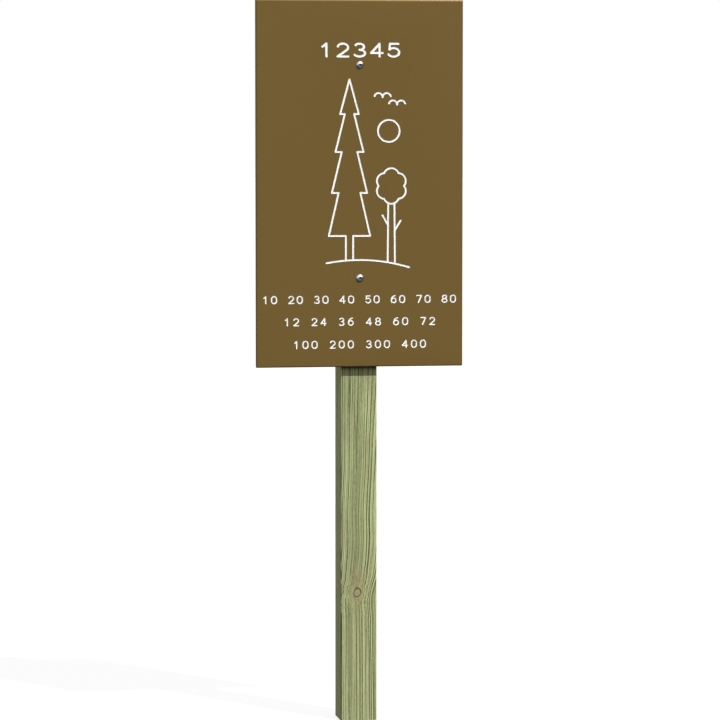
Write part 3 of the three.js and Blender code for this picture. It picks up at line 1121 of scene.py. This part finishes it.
class PARKSIGN_OT_board(bpy.types.Operator):
    """Build the board: a slab with rounded edges, routed markings filled with paint, and two bolt holes"""

    bl_idname = "park_sign.make_board"
    bl_label = "Board"

    def execute(self, context):
        board = context.scene.sign_board
        size = BOARD_HIGH - BOARD_LOW
        middle = (BOARD_LOW.z + BOARD_HIGH.z) / 2
        # The slab lies level while it is cut, with its face up, and y is its height on the post
        face_height, back_height = -BOARD_LOW.y, -BOARD_HIGH.y
        angles = [step / EDGE_STEPS * math.pi / 2 for step in range(EDGE_STEPS + 1)]
        edge = [(board.edge_round * (1 - math.sin(a)), board.edge_round * (1 - math.cos(a))) for a in angles]
        levels = [(inset, back_height + rise) for inset, rise in edge]
        levels += [(inset, face_height - rise) for inset, rise in reversed(edge)]
        rings = [
            [(x, y + middle, z) for x, y, z in rounded_ring(size.x, size.z, board.corner, inset, level)]
            for inset, level in levels
        ]
        piece = object_from("routed_board", skin("routed_board", rings))
        markings = {
            "Title": number_lines(*TITLE, *TITLE_FIGURE),
            "Picture": picture_lines(),
            "Rows": [line for row in ROWS for line in number_lines(*row, *ROW_FIGURE)],
        }
        helpers = {}
        for name, lines in markings.items():
            points, edges = split_strokes(lines, face_height)
            helpers[name] = object_from(name, mesh_from(name, points, edges=edges))
        run_tree(piece, routed_board_tree(), {
            **helpers, "Title Width": board.title_stroke, "Picture Width": board.picture_stroke,
            "Rows Width": board.row_stroke, "Depth": board.groove_depth,
            **hole_values(board.hole_radius, (face_height + back_height) / 2, size.y * 1.4),
            "Sheet": board_material(board), "Paint": paint_material(board),
        })
        for helper in helpers.values():
            bpy.data.objects.remove(helper)
        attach(piece, BODY)
        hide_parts("sign_board")
        return {"FINISHED"}


# Fasteners


WASHER_STEPS = 64
DOME_STEPS = 12
THREAD_ROWS_PER_TURN = 12
RUN_IN_ROWS = 24
# A metric thread's depth as a share of its pitch, how steep its flanks are, and how flat its crest
THREAD_DEPTH_SHARE = 0.6134
FLANK_SLOPE = 2.6
CREST_SHARE = 0.15


def fastener_row(context, mesh, material, nodes, seed_step=0):
    """Repeats one fastener at both bolts, as the piece that stands for the given solids."""
    piece = object_from(mesh.name, mesh)
    run_tree(piece, shared_group("Fastener row", fastener_row_tree), {
        "Count": len(BOLT_HEIGHTS), "Lowest": BOLT_HEIGHTS[0], "Spacing": BOLT_SPACING,
        "Seed": context.scene.sign_fasteners.seed + seed_step, "Metal": material,
    })
    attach(piece, BODY)
    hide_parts(*nodes)


def head_rings(fasteners):
    """Rings of one button head, from the bottom of its socket out over the dome and in to the thread."""
    top, seat = BOLT_LOW.y, BOARD_LOW.y
    head_height = 4.4 * MM
    crown = seat - head_height
    head_radius = (BOLT_HIGH.x - BOLT_LOW.x) / 2
    dome_height = head_height - fasteners.rim
    dome_radius = (head_radius**2 + dome_height**2) / (2 * dome_height)

    def dome(radius):
        return crown + dome_radius - math.sqrt(dome_radius**2 - radius**2)

    flat = fasteners.socket / 2
    floor = crown + fasteners.socket_depth
    mouth = flat * 2 / math.sqrt(3) + 0.28 * MM
    outline = [
        (0.02 * MM, floor + 0.9 * MM), (flat * 0.55, floor + 0.55 * MM), (flat * 0.97, floor),
        (flat, floor - 0.05 * MM, True), (flat, top + 0.45 * MM, True), (mouth, max(dome(mouth), top)),
    ]
    for step in range(1, DOME_STEPS + 1):
        radius = mouth + (head_radius - 0.12 * MM - mouth) * step / DOME_STEPS
        outline.append((radius, dome(radius)))
    outline += [
        (head_radius, dome(head_radius) + 0.1 * MM), (head_radius, seat - 0.15 * MM),
        (head_radius - 0.15 * MM, seat), (fasteners.thread / 2, seat),
    ]
    return [turned_ring(*point) for point in outline]


def thread_rings(fasteners):
    """Rings of one shank. Its thread is a wave in the radius, which turns once in every pitch."""
    tip = BOLT_HIGH.y
    outer = fasteners.thread / 2
    depth = THREAD_DEPTH_SHARE * fasteners.pitch
    tip_chamfer = 1.1 * MM
    rings = [turned_ring(outer, tip - fasteners.threaded - 1 * MM)]
    rows = round(fasteners.threaded / fasteners.pitch * THREAD_ROWS_PER_TURN)
    for row in range(rows + 1):
        y = tip - fasteners.threaded + fasteners.threaded * row / rows
        run_in = min(1.0, row / RUN_IN_ROWS)
        ring = []
        for step in range(TURNED_STEPS):
            turn = step / TURNED_STEPS
            phase = ((y - tip) / fasteners.pitch - turn) % 1.0
            flank = min(1.0, max(0.0, abs(phase - 0.5) * FLANK_SLOPE - CREST_SHARE))
            radius = min(outer - depth * run_in * flank, outer - tip_chamfer + (tip - y))
            angle = 2 * math.pi * turn
            ring.append((radius * math.sin(angle), y, radius * math.cos(angle)))
        rings.append(ring)
    return rings


class PARKSIGN_OT_bolts(bpy.types.Operator):
    """Build the two button-head bolts, with their sockets and threads"""

    bl_idname = "park_sign.make_bolts"
    bl_label = "Bolts"

    def execute(self, context):
        fasteners = context.scene.sign_fasteners
        mesh = skin("button_head_bolts", head_rings(fasteners) + thread_rings(fasteners))
        fastener_row(context, mesh, stainless(fasteners), ("upper_bolt", "lower_bolt"))
        return {"FINISHED"}


class PARKSIGN_OT_washers(bpy.types.Operator):
    """Build the two wide washers behind the post, with the rounded rim that punching leaves"""

    bl_idname = "park_sign.make_washers"
    bl_label = "Washers"

    def execute(self, context):
        fasteners = context.scene.sign_fasteners
        rim = (WASHER_HIGH.x - WASHER_LOW.x) / 2
        hole = fasteners.thread / 2 + 0.3 * MM
        near, far = WASHER_LOW.y, WASHER_HIGH.y
        mesh = turned_loop("plain_washers", [
            (hole + 0.1 * MM, near), (rim - 0.1 * MM, near), (rim, near + 0.1 * MM), (rim, far - 0.55 * MM),
            (rim - 0.06 * MM, far - 0.3 * MM), (rim - 0.2 * MM, far - 0.11 * MM),
            (rim - 0.45 * MM, far - 0.02 * MM), (rim - 0.8 * MM, far), (hole + 0.45 * MM, far),
            (hole + 0.15 * MM, far - 0.08 * MM), (hole, far - 0.3 * MM), (hole, near + 0.1 * MM),
        ], WASHER_STEPS)
        nodes = ("upper_washer", "lower_washer")
        fastener_row(context, mesh, stainless(fasteners), nodes, 1)
        return {"FINISHED"}


class PARKSIGN_OT_lock_nuts(bpy.types.Operator):
    """Build the two lock nuts, each with its chamfered hexagon, rolled collar and plastic insert"""

    bl_idname = "park_sign.make_lock_nuts"
    bl_label = "Lock nuts"

    def execute(self, context):
        fasteners = context.scene.sign_fasteners
        seat, crown = NUT_LOW.y, NUT_HIGH.y
        flat = fasteners.nut / 2
        face = flat * 0.95
        slope = math.tan(math.radians(30))
        hexagon = seat + fasteners.hexagon
        bore = fasteners.thread / 2 + 0.06 * MM
        insert_radius = (INSERT_HIGH.x - INSERT_LOW.x) / 2
        inner, outer = INSERT_LOW.y, INSERT_HIGH.y
        pocket = insert_radius + 0.3 * MM
        collar = pocket + 0.7 * MM
        lip = pocket - 0.45 * MM
        cover = crown - 0.4 * MM
        mesh = turned_loop("lock_nuts", [
            (bore, seat + 0.5 * MM), (bore + 0.5 * MM, seat), (face, seat),
            (flat, lambda reach: seat + (reach - face) * slope, True),
            (flat, lambda reach: hexagon - (reach - face) * slope, True),
            (collar + 0.15 * MM, hexagon), (collar, hexagon + 0.15 * MM), (collar, crown - 0.6 * MM),
            (collar - 0.08 * MM, crown - 0.3 * MM), (collar - 0.25 * MM, crown - 0.1 * MM),
            (collar - 0.5 * MM, crown), (lip + 0.1 * MM, crown), (lip, crown - 0.1 * MM), (lip, cover),
            (pocket, cover), (pocket, inner), (bore, inner),
        ])
        nodes = ("upper_lock_nut", "lower_lock_nut")
        fastener_row(context, mesh, stainless(fasteners), nodes, 2)
        grip = fasteners.thread / 2 + 0.02 * MM
        insert = turned_loop("nylon_inserts", [
            (insert_radius, inner), (insert_radius, outer), (grip + 0.35 * MM, outer),
            (grip + 0.1 * MM, outer - 0.1 * MM), (grip, outer - 0.3 * MM), (grip, inner),
        ])
        nodes = ("upper_nut_insert", "lower_nut_insert")
        fastener_row(context, insert, insert_material(fasteners), nodes, 3)
        return {"FINISHED"}


# Stage


WHITE = (1, 1, 1, 1)
BACKDROP_STRENGTH = 1.0
FLOOR_REACH = 60.0
FLOOR_GLOW = 0.84
FLOOR_SHADE = (0.16, 0.16, 0.16, 1)
CAMERA_SEES_TO = 200
# The lamps as (name, width in degrees, direction towards the lamp). The fill lights the back, and reaches
# neither the front nor the left side
LAMPS = (("sun", 1.5, (0.7, -1.0, 1.53)), ("fill", 25, (0.35, 1.0, 0.55)))


def two_ways(graph, lighting, seen):
    """One shader lights surfaces, and the other is what is seen directly, in a mirror or through glass."""
    path = graph.add("ShaderNodeLightPath").outputs
    direct = graph.most(path["Is Camera Ray"], path["Is Glossy Ray"], path["Is Transmission Ray"])
    return graph.first("ShaderNodeMixShader", {0: direct, 1: lighting, 2: seen})


class PARKSIGN_OT_stage(bpy.types.Operator):
    """Lay the floor, set the camera and light the sign"""

    bl_idname = "park_sign.make_stage"
    bl_label = "Floor, camera and light"

    def execute(self, context):
        scene = context.scene
        stage = scene.sign_stage

        corners = [(x * FLOOR_REACH, y * FLOOR_REACH, 0) for x, y in ((-1, -1), (1, -1), (1, 1), (-1, 1))]
        floor = object_from("floor", mesh_from("floor", corners, [(0, 1, 2, 3)]))
        material = bpy.data.materials.new("pale_floor")
        graph = empty_nodes(material)
        lighting = graph.first("ShaderNodeBsdfDiffuse", {"Color": (*stage.ground, 1)})
        glow = graph.first("ShaderNodeEmission", {"Color": WHITE, "Strength": FLOOR_GLOW})
        shade = graph.first("ShaderNodeBsdfDiffuse", {"Color": FLOOR_SHADE})
        white = graph.first("ShaderNodeAddShader", {0: glow, 1: shade})
        graph.add("ShaderNodeOutputMaterial", {"Surface": two_ways(graph, lighting, white)})
        floor.data.materials.append(material)

        world = bpy.data.worlds.new("studio")
        scene.world = world
        graph = empty_nodes(world)
        sky, backdrop = (
            graph.first("ShaderNodeBackground", {"Color": WHITE, "Strength": strength})
            for strength in (stage.sky, BACKDROP_STRENGTH)
        )
        graph.add("ShaderNodeOutputWorld", {"Surface": two_ways(graph, sky, backdrop)})

        for name, spread, towards in LAMPS:
            lamp = bpy.data.lights.new(name, "SUN")
            lamp.energy = getattr(stage, name)
            lamp.angle = math.radians(spread)
            light = object_from(name, lamp)
            light.rotation_mode = "QUATERNION"
            light.rotation_quaternion = Vector(towards).to_track_quat("Z", "Y")

        camera = object_from("camera", bpy.data.cameras.new("camera"))
        back = Vector((
            -math.sin(stage.azimuth) * math.cos(stage.elevation),
            -math.cos(stage.azimuth) * math.cos(stage.elevation),
            math.sin(stage.elevation),
        ))
        camera.location = Vector(stage.aim) + back * stage.distance
        camera.rotation_mode = "QUATERNION"
        camera.rotation_quaternion = (-back).to_track_quat("-Z", "Y")
        camera.data.sensor_width = SENSOR_WIDTH
        camera.data.lens = stage.lens
        camera.data.clip_end = CAMERA_SEES_TO
        scene.camera = camera
        scene.view_settings.view_transform = "Standard"
        return {"FINISHED"}


# Panel


OPERATORS = (
    PARKSIGN_OT_post,
    PARKSIGN_OT_board,
    PARKSIGN_OT_bolts,
    PARKSIGN_OT_washers,
    PARKSIGN_OT_lock_nuts,
    PARKSIGN_OT_stage,
)
SETTINGS = {
    "sign_post": PostSettings,
    "sign_board": BoardSettings,
    "sign_fasteners": FastenerSettings,
    "sign_stage": StageSettings,
}


class PARKSIGN_PT_panel(bpy.types.Panel):
    """The sign's sizes and colours, and a button for each of its pieces"""

    bl_idname = "PARKSIGN_PT_panel"
    bl_label = "Trail sign"
    bl_space_type = "VIEW_3D"
    bl_region_type = "UI"
    bl_category = "Trail sign"

    def draw(self, context):
        for operator in OPERATORS:
            self.layout.operator(operator.bl_idname)
        for name, group in SETTINGS.items():
            box = self.layout.box()
            for setting in group.__annotations__:
                box.prop(getattr(context.scene, name), setting)


def register():
    for group in SETTINGS.values():
        bpy.utils.register_class(group)
    for name, group in SETTINGS.items():
        setattr(bpy.types.Scene, name, PointerProperty(type=group))
    for operator in OPERATORS:
        bpy.utils.register_class(operator)
    bpy.utils.register_class(PARKSIGN_PT_panel)


def unregister():
    bpy.utils.unregister_class(PARKSIGN_PT_panel)
    for operator in reversed(OPERATORS):
        bpy.utils.unregister_class(operator)
    for name, group in SETTINGS.items():
        delattr(bpy.types.Scene, name)
        bpy.utils.unregister_class(group)


def main():
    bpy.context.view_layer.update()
    register()
    bpy.ops.park_sign.make_post()
    bpy.ops.park_sign.make_board()
    bpy.ops.park_sign.make_bolts()
    bpy.ops.park_sign.make_washers()
    bpy.ops.park_sign.make_lock_nuts()
    bpy.ops.park_sign.make_stage()


if __name__ == "__main__":
    main()
